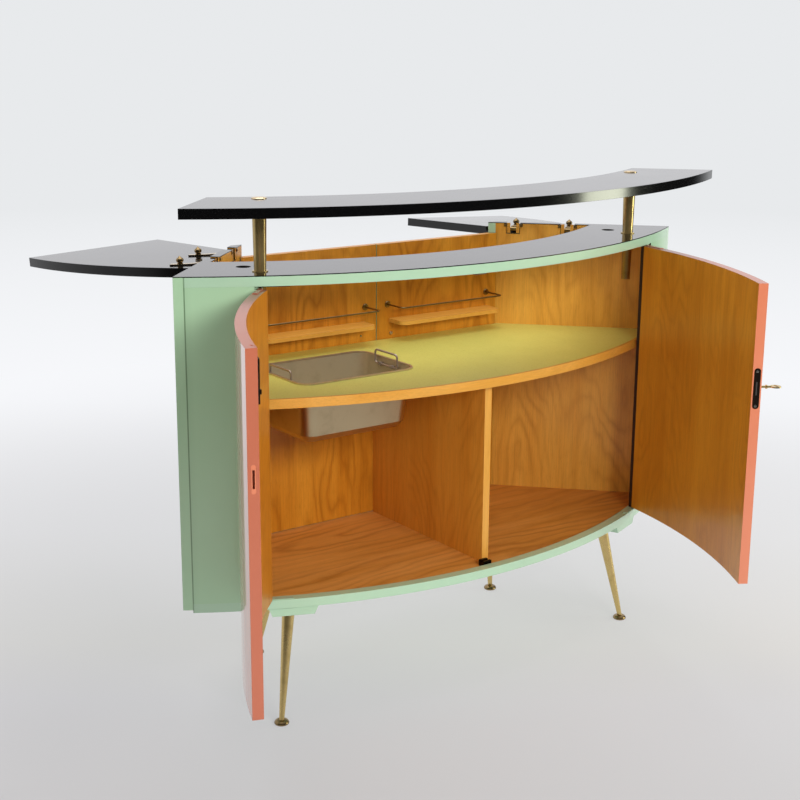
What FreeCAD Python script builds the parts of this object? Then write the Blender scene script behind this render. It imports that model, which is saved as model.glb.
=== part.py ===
import FreeCAD, Part
import os
from math import sin, cos, asin, sqrt, radians, degrees, atan2, hypot

# Curved home bar, millimetres. Z up, guests stand on the -Y side, floor at Z = 0,
# X = 0 is the middle plane. The front curves about a centre far behind the bar.

# carcass: the curved front's foremost line and radius, its corners, the side panels' slant
front_y = -247.0
front_r = 1247.0
corner_x = 673.7
side_angle = 44.6
side_t = 20.0
rear_y = 250.0
side_foot = 6.0
bottom_z = 267.0
lip_h = 19.0
lip_w = 22.0
lip_step = 8.0
floor_t = 16.0
counter_z = 957.5
counter_t = 21.3
laminate_t = 2.0
well_y = -78.0
well_r = 994.0
front_panel_t = 18.0
divider_t = 18.0
divider_set_back = 57.0

# doors
door_x = 522.1
door_t = 20.0
door_gap = 1.5
door_clear = 5.0
door_foot_clear = 3.5
pivot_back = 3.8
pivot_out = 5.6
hinge_eye_r = 3.7
jamb_notch = 17.0
open_left = 110.2
open_right = 58.2
back_door_t = 18.0
back_door_clear = 2.0
back_door_drop = 26.0
back_door_play = 1.5
back_axis_out = 4.0
back_axis_in = 0.8
back_hinge_z = (400.0, 820.0)
back_hinge_h = 60.0
hole_x = -44.0
hole_z = 719.0
peg_x = 41.0
peg_z = 717.0

# work shelf and sink
work_z = 704.0
work_t = 20.0
work_set_back = 23.0
edging_t = 6.0
sink_x = -242.0
sink_y = 44.0
sink_w = 298.0
sink_d = 217.0
sink_depth = 130.0
sink_wall = 1.2
rim_t = 3.0
rim_w = 6.0
handle_w = 84.0
handle_h = 30.0
handle_wire = 4.6
handle_sunk = 15.0
handle_in = 5.7

# upper shelf and posts
shelf_z = 1100.0
shelf_t = 20.0
shelf_front_y = -350.0
shelf_front_r = 1340.0
shelf_d = 184.0
shelf_end_in = 44.0
post_x = 500.0
post_in = 53.2
post_foot_r = 10.0
post_taper = 0.0193
post_below = 87.0
socket_r = 15.0
spare_back = 66.0
flange_r = 15.5

# fold-out leaves and their hinges
leaf_t = 20.0
leaf_gap = 2.0
leaf_droop = 3.9
leaf_axis_in = 8.5
leaf_axis_down = 16.5
leaf_clear = 0.5
hinge_front = 245.0
hinge_rear = 378.0
notch_w = 34.0
notch_h = 27.5
ear_w = 23.0
leaf_pin_r = 2.0
arm_w = 12.0
arm_t = 3.0
arm_bend = 60.0
arm_reach = 98.0
knob_reach = 77.0
running = 0.05

# lock in the right door, flush bolt in the left
lock_z = 714.0
lock_w = 14.0
lock_h = 86.0
lock_deep = 26.0
key_in = 16.0
key_r = 2.5
flush_z = 836.0
flush_h = 75.0
flush_rod_r = 3.0
flush_rod = 90.0

# galleries on the back doors
gallery_z = 753.0
gallery_t = 9.0
gallery_in = 36.0
gallery_w = 300.0
gallery_d = 57.0
rail_z = 787.0
rail_r = 2.0
rail_d = 62.0

# legs
block_t = 18.5
leg_top_r = 14.0
leg_foot_r = 5.5
glide_h = 10.0
front_leg_x = 491.0
front_leg_in = 18.6
rear_leg_x = 352.0
rear_leg_in = 38.0
leg_splay_x = 43.0
leg_splay_y = 36.0

front_centre_y = front_y + front_r
corner_angle = degrees(asin(corner_x / front_r))
door_angle = degrees(asin(door_x / front_r))
well_centre_y = well_y + well_r
work_r = front_r - work_set_back
divider_front_y = front_y + divider_set_back
shelf_centre_y = shelf_front_y + shelf_front_r
shelf_back_r = shelf_front_r - shelf_d
lip_z = bottom_z + lip_h
floor_z = lip_z - lip_step
ceiling_z = counter_z - counter_t
board_top = counter_z - laminate_t
door_low = lip_z + door_foot_clear
door_high = ceiling_z - door_clear
door_edge = degrees(door_gap / front_r)
back_door_top = counter_z - back_door_drop
cove_r = hypot(max(leaf_axis_in, side_t - leaf_axis_in), leaf_axis_down) + leaf_clear
axis_z = counter_z - leaf_axis_down
back_y = rear_y - back_door_t
UP = FreeCAD.Vector(0, 0, 1)

os.makedirs("parts", exist_ok=True)


def V(x, y, z=0.0):
    return FreeCAD.Vector(x, y, z)


def about(r, angle, z=0.0, centre_y=front_centre_y):
    # point at a radius and an angle in degrees from the middle plane
    return V(r * sin(radians(angle)), centre_y - r * cos(radians(angle)), z)


def side(s, along, out, z=0.0):
    # point by its place along a side panel from the front corner and outward of its outer face
    c = about(front_r, corner_angle)
    sa, ca = sin(radians(side_angle)), cos(radians(side_angle))
    return V(s * (c.x - along * sa + out * ca), c.y + along * ca + out * sa, z)


def by_jamb(s, out, along, z=0.0):
    # point by its place outward of the front arc and along it, from a jamb into the opening
    return about(front_r + out, s * (door_angle - degrees(along / front_r)), z)


def along_dir(s):
    return V(-s * sin(radians(side_angle)), cos(radians(side_angle)), 0)


def along_arc(r, centre_y, out):
    # where a line parallel to the side panel first meets an arc
    a = side(1, 0, out) - V(0, centre_y)
    b = a.dot(along_dir(1))
    return -b - sqrt(b * b - a.dot(a) + r * r)


def along_y(y, out):
    return (y - side(1, 0, out).y) / cos(radians(side_angle))


def angle_of(p, centre_y):
    return degrees(atan2(p.x, centre_y - p.y))


def arc_to(p, q, r, centre_y):
    mid = (angle_of(p, centre_y) + angle_of(q, centre_y)) / 2
    return (about(r, mid, p.z, centre_y), q)


def outline(path):
    edges = []
    here = path[0]
    for step in path[1:] + [path[0]]:
        target = step[1] if isinstance(step, tuple) else step
        if here.distanceToPoint(target) > 1e-6:
            if isinstance(step, tuple):
                edges.append(Part.Arc(here, step[0], target).toShape())
            else:
                edges.append(Part.makeLine(here, target))
        here = target
    return Part.Wire(edges)


def prism(path, z0, z1):
    face = Part.Face(outline(path))
    face.translate(V(0, 0, z0))
    return face.extrude(V(0, 0, z1 - z0))


def box(x0, x1, y0, y1, z0, z1):
    return Part.makeBox(x1 - x0, y1 - y0, z1 - z0, V(x0, y0, z0))


def side_box(s, a0, a1, out0, out1, z0, z1):
    return prism([side(s, a0, out0), side(s, a1, out0), side(s, a1, out1), side(s, a0, out1)], z0, z1)


def deck(r, inset, y, z0, z1):
    # a level board between the side panels, curved in front, straight behind
    left = side(-1, along_arc(r, front_centre_y, -inset), -inset)
    right = side(1, along_arc(r, front_centre_y, -inset), -inset)
    rear = along_y(y, -inset)
    path = [left, arc_to(left, right, r, front_centre_y), side(1, rear, -inset), side(-1, rear, -inset)]
    return prism(path, z0, z1)


def curved(r0, r1, a0, a1, z0, z1):
    mid = (a0 + a1) / 2
    path = [about(r1, a0), (about(r1, mid), about(r1, a1)), about(r0, a1), (about(r0, mid), about(r0, a0))]
    return prism(path, z0, z1)


def turned(path, base, axis=UP):
    # solid of revolution of a half profile given as (radius, height) points
    def point(p):
        return V(p[0], 0, p[1])
    steps = [point(path[0])]
    for p in path[1:]:
        steps.append((point(p[0]), point(p[1])) if isinstance(p[0], tuple) else point(p))
    solid = Part.Face(outline(steps)).revolve(V(0, 0, 0), UP, 360)
    solid.Placement = FreeCAD.Placement(base, FreeCAD.Rotation(UP, axis))
    return solid


def rod(r, a, b):
    return Part.makeCylinder(r, (b - a).Length, a, b - a)


def drill(shape, r, a, b):
    return shape.cut(rod(r, a, b))


def join(shapes):
    solid = shapes[0].multiFuse(shapes[1:]).removeSplitter()
    return solid.Solids[0] if len(solid.Solids) == 1 else solid


def swung(shape, base, axis, angle):
    other = shape.copy()
    other.rotate(base, axis, angle)
    return other


def save(name, shapes):
    shape = Part.makeCompound(shapes) if isinstance(shapes, list) else shapes
    shape.exportStep("parts/" + name + ".step")


def round_rect(x, y, w, d, r, z):
    # flat rounded rectangle wire about a centre
    hx, hy = w / 2, d / 2
    k = r * (1 - sqrt(0.5))
    p = []
    for sx, sy, first in ((1, -1, True), (1, 1, False), (-1, 1, True), (-1, -1, False)):
        a = V(x + sx * (hx - r), y + sy * hy, z)
        b = V(x + sx * hx, y + sy * (hy - r), z)
        m = V(x + sx * (hx - k), y + sy * (hy - k), z)
        p += [a, (m, b)] if first else [b, (m, a)]
    return outline(p)


# carcass boards; the bottom has a raised lip along its front
bottom = join([deck(front_r, side_t, 0, bottom_z, lip_z).cut(deck(front_r - lip_w, side_t, 1, bottom_z - 1, lip_z + 1)),
               deck(front_r - lip_w, side_t, rear_y, floor_z - floor_t, floor_z)])
save("bottom_board", bottom)

post_y = front_centre_y - sqrt((front_r - post_in) ** 2 - post_x ** 2)
post_foot_z = ceiling_z - post_below
post_spots = [V(s * post_x, post_y) for s in (-1, 1)]
spare_spots = [V(s * post_x, post_y + spare_back) for s in (-1, 1)]


def band(inset, rear_out, z0, z1):
    # the counter's crescent, from the front arc back to the well
    left = side(-1, along_arc(front_r, front_centre_y, -inset), -inset)
    right = side(1, along_arc(front_r, front_centre_y, -inset), -inset)
    in_right = side(1, along_arc(well_r, well_centre_y, -rear_out), -rear_out)
    in_left = side(-1, along_arc(well_r, well_centre_y, -rear_out), -rear_out)
    path = [left, arc_to(left, right, front_r, front_centre_y)]
    if inset < rear_out:
        path += [side(1, along_y(rear_y, -inset), -inset), side(1, along_y(rear_y, -rear_out), -rear_out)]
    path += [in_right, arc_to(in_right, in_left, well_r, well_centre_y)]
    if inset < rear_out:
        path += [side(-1, along_y(rear_y, -rear_out), -rear_out), side(-1, along_y(rear_y, -inset), -inset)]
    return prism(path, z0, z1)


counter = band(side_t, side_t, ceiling_z, board_top)
rod_hole = about(front_r - door_t + 6, -1.05)
counter = drill(counter, flush_rod_r + 0.6, rod_hole + V(0, 0, ceiling_z - 1),
                rod_hole + V(0, 0, ceiling_z + 10))
laminate = band(0, side_t, board_top, counter_z)
for spot in post_spots + spare_spots:
    counter = drill(counter, socket_r, spot + V(0, 0, ceiling_z - 1), spot + V(0, 0, counter_z))
    laminate = drill(laminate, socket_r, spot + V(0, 0, ceiling_z), spot + V(0, 0, counter_z + 1))

hinge_spots = [(s, a) for s in (-1, 1) for a in (hinge_front, hinge_rear)]
for s, a in hinge_spots:
    notch = side_box(s, a - notch_w / 2, a + notch_w / 2, -side_t - 1, 1, counter_z - notch_h, counter_z + 1)
    laminate = laminate.cut(notch)
save("counter_board", counter)
save("counter_laminate", laminate)

for s, name in ((-1, "left"), (1, "right")):
    front_in = along_arc(front_r, front_centre_y, -side_t)
    panel = prism([side(s, 0, 0), side(s, front_in, -side_t), side(s, along_y(rear_y, -side_t), -side_t),
                   side(s, along_y(rear_y, 0), 0)], bottom_z + side_foot, board_top)
    for t, a in hinge_spots:
        if t == s:
            panel = panel.cut(side_box(s, a - notch_w / 2, a + notch_w / 2, -side_t - 1, 1,
                                       counter_z - notch_h, counter_z + 1))
    save("side_panel_" + name, panel)

    # fixed curved front panel between the side panel and the door opening, its jamb
    # notched above and below for the door's pivot hinges
    outer = side(s, front_in, -side_t)
    r_in = front_r - front_panel_t
    inner = side(s, along_arc(r_in, front_centre_y, -side_t), -side_t)
    jamb_out = about(front_r, s * door_angle)
    jamb_in = about(r_in, s * door_angle)
    panel = prism([outer, arc_to(outer, jamb_out, front_r, front_centre_y), jamb_in,
                   arc_to(jamb_in, inner, r_in, front_centre_y)], lip_z, ceiling_z)
    behind = -pivot_back - hinge_eye_r - 0.7
    sunk = [by_jamb(s, 5, -jamb_notch), by_jamb(s, 5, 2), by_jamb(s, behind, 2), by_jamb(s, behind, -jamb_notch)]
    for z0, z1 in ((door_high - 0.5, ceiling_z + 1), (lip_z - 1, door_low + 0.5)):
        panel = panel.cut(prism(sunk, z0, z1))
    save("front_panel_" + name, panel)

# work shelf: board, laminate and curved hardwood edging
cut_w = sink_w - 2 * rim_w + 2 * sink_wall + 1.6
cut_d = sink_d - 2 * rim_w + 2 * sink_wall + 1.6
hole = Part.Face(round_rect(sink_x, sink_y, cut_w, cut_d, 32, work_z - work_t - 1))
hole = hole.extrude(V(0, 0, work_t + 2))
door_wide = side(1, along_y(back_y, -side_t), -side_t).x - 5.0
hinge_x = side(1, along_y(rear_y, -side_t), -side_t).x - back_axis_in
hinge_y = rear_y + back_axis_out
# the rear corners are hollowed where the back doors' hinged edges sweep
sweep_r = hypot(door_wide - hinge_x, hinge_y - back_y) + leaf_clear
for name, z0, z1 in (("work_shelf", work_z - work_t, work_z - laminate_t),
                     ("work_laminate", work_z - laminate_t, work_z)):
    board = deck(work_r - edging_t, side_t, back_y - back_door_play, z0, z1).cut(hole)
    for s in (-1, 1):
        board = drill(board, sweep_r, V(s * hinge_x, hinge_y, z0 - 1), V(s * hinge_x, hinge_y, z1 + 1))
    save(name, board)
save("work_edging", deck(work_r, side_t, 0, work_z - work_t, work_z).cut(
    deck(work_r - edging_t, side_t, 1, work_z - work_t - 1, work_z + 1)))
save("center_divider", box(-divider_t / 2, divider_t / 2, divider_front_y, back_y - 0.5,
                           floor_z, work_z - work_t))

# front doors, built shut and swung to their open pose
def obround(w, h, t, corner):
    # upright plate with round ends, its face looking along X
    plate = Part.Face(round_rect(0, 0, h, w, w / 2 - 0.01, 0)).extrude(V(0, 0, t))
    plate.rotate(V(0, 0, 0), V(0, 1, 0), 90)
    plate.translate(corner)
    return plate


half_gap = door_edge / 2
edge_x = front_r * sin(radians(half_gap))
mid_y = front_centre_y - front_r + door_t / 2
hinge_plates = []
for s, name, swing in ((-1, "left", -open_left), (1, "right", open_right)):
    pivot = by_jamb(s, -pivot_back, -pivot_out)
    door = curved(front_r - door_t, front_r, s * half_gap, s * (door_angle - door_edge), door_low, door_high)
    straps = []
    for z_fixed, z_strap in ((ceiling_z - 1.5, door_high), (lip_z, door_low - 1.5)):
        for group, z in ((hinge_plates, z_fixed), (straps, z_strap)):
            plate = curved(front_r - 12, front_r - 2, s * (door_angle - 0.12), s * (door_angle - 2.4),
                           z, z + 1.5)
            tongue = prism([by_jamb(s, 3.2 - pivot_back, -pivot_out), by_jamb(s, -3.2 - pivot_back, -pivot_out),
                            by_jamb(s, -3.2 - pivot_back, 6), by_jamb(s, -2.2, 6)], z, z + 1.5)
            eye = Part.makeCylinder(hinge_eye_r, 1.5, pivot + V(0, 0, z))
            shape = join([plate, tongue, eye])
            if group is straps:
                shape = drill(shape, 2 + running, pivot + V(0, 0, z - 1), pivot + V(0, 0, z + 3))
            else:
                pin_z = min(z, z_strap)
                shape = join([shape, Part.makeCylinder(2, abs(z - pin_z) + 1.5, pivot + V(0, 0, pin_z))])
            group.append(shape)
    save("front_hinge_straps_" + name, [swung(p, pivot, UP, swing) for p in straps])

    if s > 0:
        # mortise lock in the free edge: round-ended plate, case behind it, bolt and key
        plate = obround(lock_w, lock_h, 2, V(edge_x, mid_y, lock_z))
        film = obround(lock_w, lock_h, 2, V(edge_x - 1, mid_y, lock_z))
        case = join([plate, box(edge_x, lock_deep, mid_y - 5, mid_y + 5, lock_z - 30, lock_z + 30)])
        door = door.cut(case).cut(film)
        key_x = edge_x + key_in
        outside = mid_y - door_t / 2
        key_hole = rod(key_r + running, V(key_x, outside - 2, lock_z), V(key_x, mid_y + 2, lock_z))
        door = door.cut(key_hole)
        slot = box(-2, 13, mid_y - 1.55, mid_y + 1.55, lock_z - 14.05, lock_z + 14.05)
        save("lock_case", swung(case.cut(slot).cut(key_hole), pivot, UP, swing))
        bolt = box(edge_x + 0.5, 12.9, mid_y - 1.5, mid_y + 1.5, lock_z - 14, lock_z + 14)
        save("lock_bolt", swung(bolt, pivot, UP, swing))
        bow = Part.makeCylinder(11, 2.6, V(key_x, outside - 35, lock_z - 1.3))
        for k in (-1, 1):
            bow = bow.cut(Part.makeCylinder(3.2, 4, V(key_x + k * 4.8, outside - 36, lock_z - 2)))
        key = join([rod(key_r, V(key_x, outside - 26, lock_z), V(key_x, mid_y + 1.9, lock_z)),
                    rod(4.2, V(key_x, outside - 17, lock_z), V(key_x, outside - 14, lock_z)), bow])
        save("key", swung(key, pivot, UP, swing))
    else:
        # strike for the lock bolt in the free edge
        slot = box(-13, 0, mid_y - 2, mid_y + 2, lock_z - 16, lock_z + 16)
        strike = obround(8, 50, 2, V(-edge_x - 2, mid_y, lock_z))
        film = obround(8, 50, 2, V(-edge_x - 1, mid_y, lock_z))
        door = door.cut(slot).cut(strike).cut(film)
        save("strike_plate", swung(strike.cut(slot), pivot, UP, swing))
        # flush bolt: let-in plate, rod that rises into the counter, and its finger lever
        r_in = front_r - door_t
        plate = curved(r_in - 1.5, r_in + 3, -1.55, -0.55, flush_z, flush_z + flush_h)
        rod_at = about(r_in + 6, -1.05)
        rod_foot = rod_at + V(0, 0, door_high - flush_rod)
        rod_hole = Part.makeCylinder(flush_rod_r + running, flush_rod + 30, rod_foot - V(0, 0, 10))
        finger_slot = curved(r_in - 2, r_in + 4.5, -1.15, -0.95, flush_z + 8, flush_z + flush_h - 8)
        door = door.cut(plate).cut(rod_hole).cut(finger_slot)
        save("flush_bolt_plate", swung(plate.cut(finger_slot), pivot, UP, swing))
        lever = curved(r_in - 9, r_in + 4, -1.12, -0.98, flush_z + 14, flush_z + 22)
        flush = join([Part.makeCylinder(flush_rod_r, flush_rod - 2, rod_foot), lever])
        save("flush_bolt", swung(flush, pivot, UP, swing))
    save("front_door_" + name, swung(door, pivot, UP, swing))
save("front_hinge_plates", hinge_plates)

# catches for the front doors
catch_y = front_y + door_t + 5
for name, x0, x1, z0, z1 in (("top_catch", -70, -40, ceiling_z - 7, ceiling_z),
                             ("foot_catch", -28, -8, floor_z, lip_z + 6)):
    body = box(x0, x1, catch_y, catch_y + 19, z0, z1)
    open_z = z0 - 1 if z1 == ceiling_z else lip_z + 3
    save(name, body.cut(box(x0 - 1, x1 + 1, catch_y + 6, catch_y + 12, open_z, open_z + 4)))

# back doors with a gallery shelf and rail each
hinge_h = back_hinge_h
frame_leaves = []
for s, name in ((-1, "left"), (1, "right")):
    narrow = side(1, along_y(rear_y, -side_t), -side_t).x - 1.5
    door = prism([V(s * 1, back_y), V(s * door_wide, back_y), V(s * narrow, rear_y), V(s * 1, rear_y)],
                 floor_z + back_door_clear, back_door_top)
    if s < 0:
        door = drill(door, 2.2, V(hole_x, back_y - 1, hole_z), V(hole_x, back_y + 10, hole_z))
    save("back_door_" + name, door)

    corner = 18.0
    x0, x1 = gallery_in, gallery_in + gallery_w
    y0, y1 = back_y - gallery_d, back_y
    k = corner * (1 - sqrt(0.5))
    shelf = prism([V(s * x0, y1), V(s * x1, y1), V(s * x1, y0 + corner),
                   (V(s * (x1 - k), y0 + k), V(s * (x1 - corner), y0)), V(s * (x0 + corner), y0),
                   (V(s * (x0 + k), y0 + k), V(s * x0, y0 + corner))], gallery_z - gallery_t, gallery_z)
    save("gallery_shelf_" + name, shelf)

    bend = 8.0
    front = back_y - rail_d
    xa, xb = x0 - 4, x1 - 4
    kb = bend * (1 - sqrt(0.5))
    line = [Part.makeLine(V(s * xa, back_y - 3, rail_z), V(s * xa, front + bend, rail_z)),
            Part.Arc(V(s * xa, front + bend, rail_z), V(s * (xa + kb), front + kb, rail_z),
                     V(s * (xa + bend), front, rail_z)).toShape(),
            Part.makeLine(V(s * (xa + bend), front, rail_z), V(s * (xb - bend), front, rail_z)),
            Part.Arc(V(s * (xb - bend), front, rail_z), V(s * (xb - kb), front + kb, rail_z),
                     V(s * xb, front + bend, rail_z)).toShape(),
            Part.makeLine(V(s * xb, front + bend, rail_z), V(s * xb, back_y - 3, rail_z))]
    ring = Part.Wire(Part.Circle(V(s * xa, back_y - 3, rail_z), V(0, 1, 0), rail_r).toShape())
    save("gallery_rail_" + name, Part.Wire(line).makePipeShell([ring], True, False))
    save("gallery_rosettes_" + name, [
        turned([(0, 0), (8, 0), ((7.6, 2.2), (4.5, 3)), (0, 3)], V(s * x, back_y, rail_z), V(0, -1, 0))
        for x in (xa, xb)])

    # surface hinges on the rear faces
    leaves = []
    for z in back_hinge_z:
        base = V(hinge_x, hinge_y, z - hinge_h / 2)
        third = hinge_h / 3
        plate = box(hinge_x + 3.8, hinge_x + 24, rear_y, rear_y + 1.5, z - hinge_h / 2, z + hinge_h / 2)
        lug = box(hinge_x + 0.6, hinge_x + 4, rear_y + 0.2, rear_y + 4, z - hinge_h / 2, z + hinge_h / 2)
        barrel = Part.makeCylinder(3.4, hinge_h, base)
        gap = Part.makeCylinder(4.4, third + 0.6, V(hinge_x, hinge_y, z - third / 2 - 0.3))
        frame = plate.fuse(lug.fuse(barrel).cut(gap)).fuse(Part.makeCylinder(1.5, hinge_h, base))
        plate = box(hinge_x - 24, hinge_x - 3.8, rear_y, rear_y + 1.5, z - hinge_h / 2, z + hinge_h / 2)
        lug = box(hinge_x - 4, hinge_x - 0.6, rear_y + 0.2, rear_y + 4, z - third / 2, z + third / 2)
        barrel = Part.makeCylinder(3.4, third, V(hinge_x, hinge_y, z - third / 2))
        leaf = plate.fuse(lug).fuse(barrel)
        leaf = leaf.cut(Part.makeCylinder(1.5 + running, hinge_h + 2, base - UP))
        pair = []
        for shape in (frame, leaf):
            shape = shape.removeSplitter()
            pair.append(shape if s > 0 else shape.mirror(V(0, 0, 0), V(1, 0, 0)))
        frame_leaves.append(pair[0])
        leaves.append(pair[1])
    save("back_hinge_leaves_" + name, leaves)
save("back_hinge_frames", frame_leaves)
save("back_door_peg", turned([(0, 0), (4, 0), (4, 2), ((3.3, 5), (1, 6)), (0, 6)],
                             V(peg_x, back_y, peg_z), V(0, -1, 0)))

# upper bar shelf on two tapered posts that stand in the counter's sockets
ends = [side(s, along_arc(r, shelf_centre_y, -shelf_end_in), -shelf_end_in)
        for s, r in ((-1, shelf_front_r), (1, shelf_front_r), (1, shelf_back_r), (-1, shelf_back_r))]
shelf = prism([ends[0], arc_to(ends[0], ends[1], shelf_front_r, shelf_centre_y), ends[2],
               arc_to(ends[2], ends[3], shelf_back_r, shelf_centre_y)], shelf_z - shelf_t, shelf_z)
shelf_low = shelf_z - shelf_t
post_top_r = post_foot_r + post_taper * (shelf_low - post_foot_z)
ferrules = []
flanges = []
for spot, name in zip(post_spots, ("left", "right")):
    shelf = drill(shelf, 5.2, spot + V(0, 0, shelf_low - 1), spot + V(0, 0, shelf_z + 1))
    post = Part.makeCone(post_foot_r, post_top_r, shelf_low - post_foot_z, spot + V(0, 0, post_foot_z))
    save("post_" + name, join([post, Part.makeCylinder(5, shelf_t, spot + V(0, 0, shelf_low))]))
    dome = ((flange_r * 0.8, 2.6), (flange_r * 0.5, 3))
    flanges.append(turned([(0, 0), (flange_r, 0), (flange_r, 1), dome, (0, 3)], spot + V(0, 0, shelf_z)))
    low_r = post_foot_r + post_taper * (ceiling_z - post_foot_z) + 0.3
    high_r = post_foot_r + post_taper * (counter_z + 2 - post_foot_z) + 0.3
    sleeve = join([Part.makeCylinder(socket_r - 0.05, counter_t, spot + V(0, 0, ceiling_z)),
                   Part.makeCylinder(socket_r + 0.9, 2, spot + V(0, 0, counter_z))])
    ferrules.append(sleeve.cut(Part.makeCone(low_r, high_r, counter_t + 2, spot + V(0, 0, ceiling_z))))
save("upper_shelf", shelf)
save("post_flanges", flanges)
save("post_ferrules", ferrules)

# fold-out leaves, built shut over the well and swung out past the side panels
saddles = []
pins = []
screws = []
for s, name in ((-1, "left"), (1, "right")):
    out = -side_t - leaf_gap
    r_leaf = well_r - leaf_gap
    arc_start = side(s, along_arc(r_leaf, well_centre_y, out), out)
    arc_end = V(s * leaf_gap / 2, well_centre_y - sqrt(r_leaf ** 2 - (leaf_gap / 2) ** 2))
    leaf = prism([arc_start, arc_to(arc_start, arc_end, r_leaf, well_centre_y), V(s * leaf_gap / 2, rear_y),
                  side(s, along_y(rear_y, out), out)], counter_z - leaf_t, counter_z)
    base = side(s, 0, -leaf_axis_in, axis_z)
    turn = along_dir(s)
    swing = s * (180 + leaf_droop)
    # the hinged edge is hollowed about the axis, so that it turns clear of the side panel
    leaf = leaf.cut(rod(cove_r, base - turn * front_r, base + turn * front_r))
    save("leaf_" + name, swung(leaf, base, turn, swing))
    arms = []
    knobs = []
    under = counter_z - leaf_t
    for a in (hinge_front, hinge_rear):
        flat = under - arm_t / 2
        centre = [(-leaf_axis_in, axis_z), (-leaf_axis_in - 1.5, axis_z - 6.5),
                  (-arm_bend, flat), (-arm_reach, flat)]
        links = []
        for (p0, z0), (p1, z1) in zip(centre, centre[1:]):
            n = arm_t / 2 / hypot(p1 - p0, z1 - z0)
            dp, dz = -(z1 - z0) * n, (p1 - p0) * n
            quad = Part.makePolygon([side(s, a - arm_w / 2, p, z) for p, z in
                                     ((p0 + dp, z0 + dz), (p1 + dp, z1 + dz), (p1 - dp, z1 - dz),
                                      (p0 - dp, z0 - dz), (p0 + dp, z0 + dz))])
            links.append(Part.Face(quad).extrude(along_dir(s) * arm_w))
        for p, z in centre[1:3]:
            links.append(rod(arm_t / 2, side(s, a - arm_w / 2, p, z), side(s, a + arm_w / 2, p, z)))
        barrel = notch_w / 2 - 2
        eye_a = side(s, a - barrel, -leaf_axis_in, axis_z)
        eye_b = side(s, a + barrel, -leaf_axis_in, axis_z)
        arm = join([rod(5, eye_a, eye_b)] + links)
        bore = rod(leaf_pin_r + running, side(s, a - notch_w, -leaf_axis_in, axis_z),
                   side(s, a + notch_w, -leaf_axis_in, axis_z))
        arm = arm.cut(bore)
        arms.append(swung(arm, base, turn, swing))
        knob = turned([(0, 0), (6.2, 0), (6.2, 1.5), (4.4, 2.8), ((8.0, 7.6), (4.2, 13.0)), (0, 17.0)],
                      side(s, a, -knob_reach, under - arm_t), V(0, 0, -1))
        knobs.append(swung(knob, base, turn, swing))

        low = counter_z - notch_h
        saddle = [side_box(s, a - notch_w / 2, a + notch_w / 2, -side_t, 0, low, low + 1.5)]
        for k in (-1, 1):
            lug = sorted((a + k * (notch_w / 2 - 1.5), a + k * notch_w / 2))
            ear = sorted((a + k * (notch_w / 2 - 1.5), a + k * ear_w))
            saddle.append(side_box(s, lug[0], lug[1], -side_t, -0.5, low, counter_z - 3))
            saddle.append(side_box(s, ear[0], ear[1], -side_t - 1.5, -side_t, counter_z - 10, counter_z - 2))
            spot = side(s, a + k * (ear_w - 3.2), -side_t - 1.5, counter_z - 6)
            head_dir = V(s * cos(radians(side_angle)), sin(radians(side_angle)), 0) * -1
            screws.append(turned([(0, 0), (2.6, 0), ((2.0, 0.9), (1, 1.2)), (0, 1.2)], spot, head_dir))
        saddles.append(join(saddle).cut(bore))
        pins.append(rod(leaf_pin_r, side(s, a - notch_w / 2, -leaf_axis_in, axis_z),
                        side(s, a + notch_w / 2, -leaf_axis_in, axis_z)))
    save("leaf_arms_" + name, arms)
    save("leaf_knobs_" + name, knobs)
save("leaf_hinge_saddles", saddles)
save("leaf_hinge_pins", pins)
save("leaf_hinge_screws", screws)

# drop-in sink with two ring handles that fold down into it
mouth_w = sink_w - 2 * rim_w
mouth_d = sink_d - 2 * rim_w


def bowl(grow, depth):
    sections = []
    for z, shrink, r in ((0, 0, 30), (sink_depth - 14, 22, 28), (depth, 44, 20)):
        sections.append(round_rect(sink_x, sink_y, mouth_w - shrink + 2 * grow, mouth_d - shrink + 2 * grow,
                                   r + grow, work_z - z))
    return Part.makeLoft(sections, True, True)


rim = Part.Face(round_rect(sink_x, sink_y, sink_w, sink_d, 36, work_z)).extrude(V(0, 0, rim_t))
mouth = Part.Face(round_rect(sink_x, sink_y, mouth_w, mouth_d, 30, work_z - 1)).extrude(V(0, 0, rim_t + 2))
sink = rim.fuse(bowl(sink_wall, sink_depth)).cut(bowl(0, sink_depth - sink_wall)).cut(mouth).removeSplitter()
save("sink", sink)
lugs = []
for s, name in ((-1, "left"), (1, "right")):
    x = sink_x + s * (mouth_w / 2 - handle_in)
    z0 = work_z + rim_t - handle_sunk
    ring = Part.Wire(round_rect(0, 0, handle_w, handle_h, 8, 0))
    wire = ring.copy()
    wire.rotate(V(0, 0, 0), V(0, 0, 1), 90)
    wire.rotate(V(0, 0, 0), V(0, 1, 0), 90)
    wire.translate(V(x, sink_y, z0 + handle_h / 2))
    first = wire.OrderedEdges[0]
    start = first.valueAt(first.FirstParameter)
    tangent = first.tangentAt(first.FirstParameter)
    loop = Part.Wire([Part.makeCircle(handle_wire / 2, start, tangent)])
    save("sink_handle_" + name, wire.makePipeShell([loop], True, False))
    for y in (sink_y - 22, sink_y + 22):
        near, far = sorted((x - s * 3.5, x + s * (handle_in - 0.5)))
        lug = box(near, far, y - 4, y + 4, z0 - 3.5, z0 + 3.5)
        lugs.append(drill(lug, handle_wire / 2 + running, V(x, y - 5, z0), V(x, y + 5, z0)).cut(sink))
save("sink_lugs", lugs)

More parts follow.
